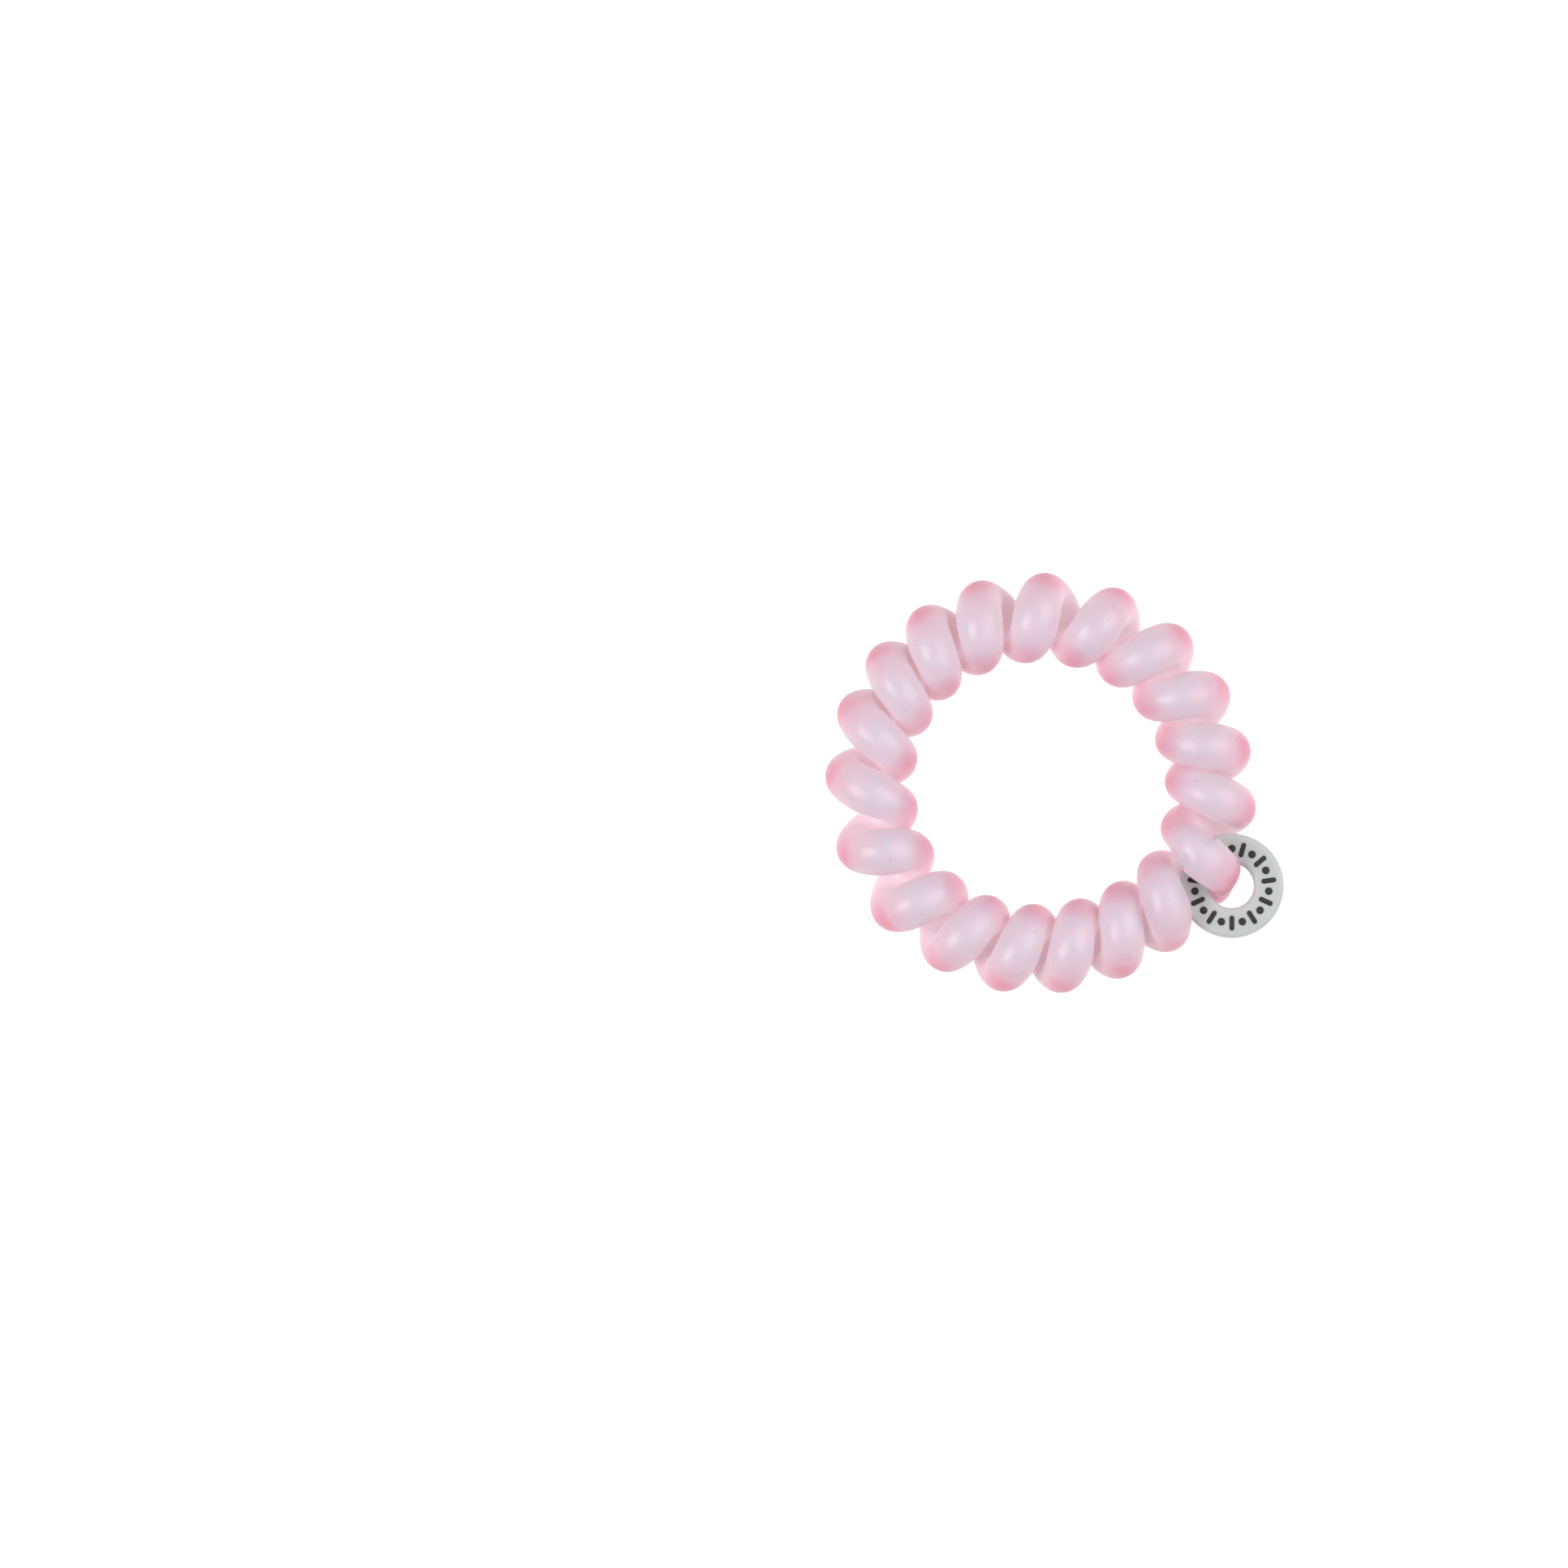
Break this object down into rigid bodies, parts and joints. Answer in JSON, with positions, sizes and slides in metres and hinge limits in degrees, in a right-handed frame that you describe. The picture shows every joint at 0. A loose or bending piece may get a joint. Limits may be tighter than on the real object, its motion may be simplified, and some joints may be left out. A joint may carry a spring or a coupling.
{
  "type": "spiral hair tie",
  "caption": "Closed elastic ring of one thick strand wound into a tight coil, with a flat ring tag threaded on one turn.",
  "frame": {"origin": "on the axis of the ring, at the plane that the tie lies on", "axes": "+Z along the axis of the ring, up from the plane it lies on; the ring tag points out between +X and -Y"},
  "size_m": [0.0413, 0.0378, 0.009],
  "materials": {
    "frosted_strand": "frosted translucent pink elastomer, soft matte",
    "tag_plastic": "milky translucent white plastic, satin"
  },
  "bodies": {
    "root": {"coil": "frosted_strand", "ring_tag": "tag_plastic"}
  },
  "joints": []
}
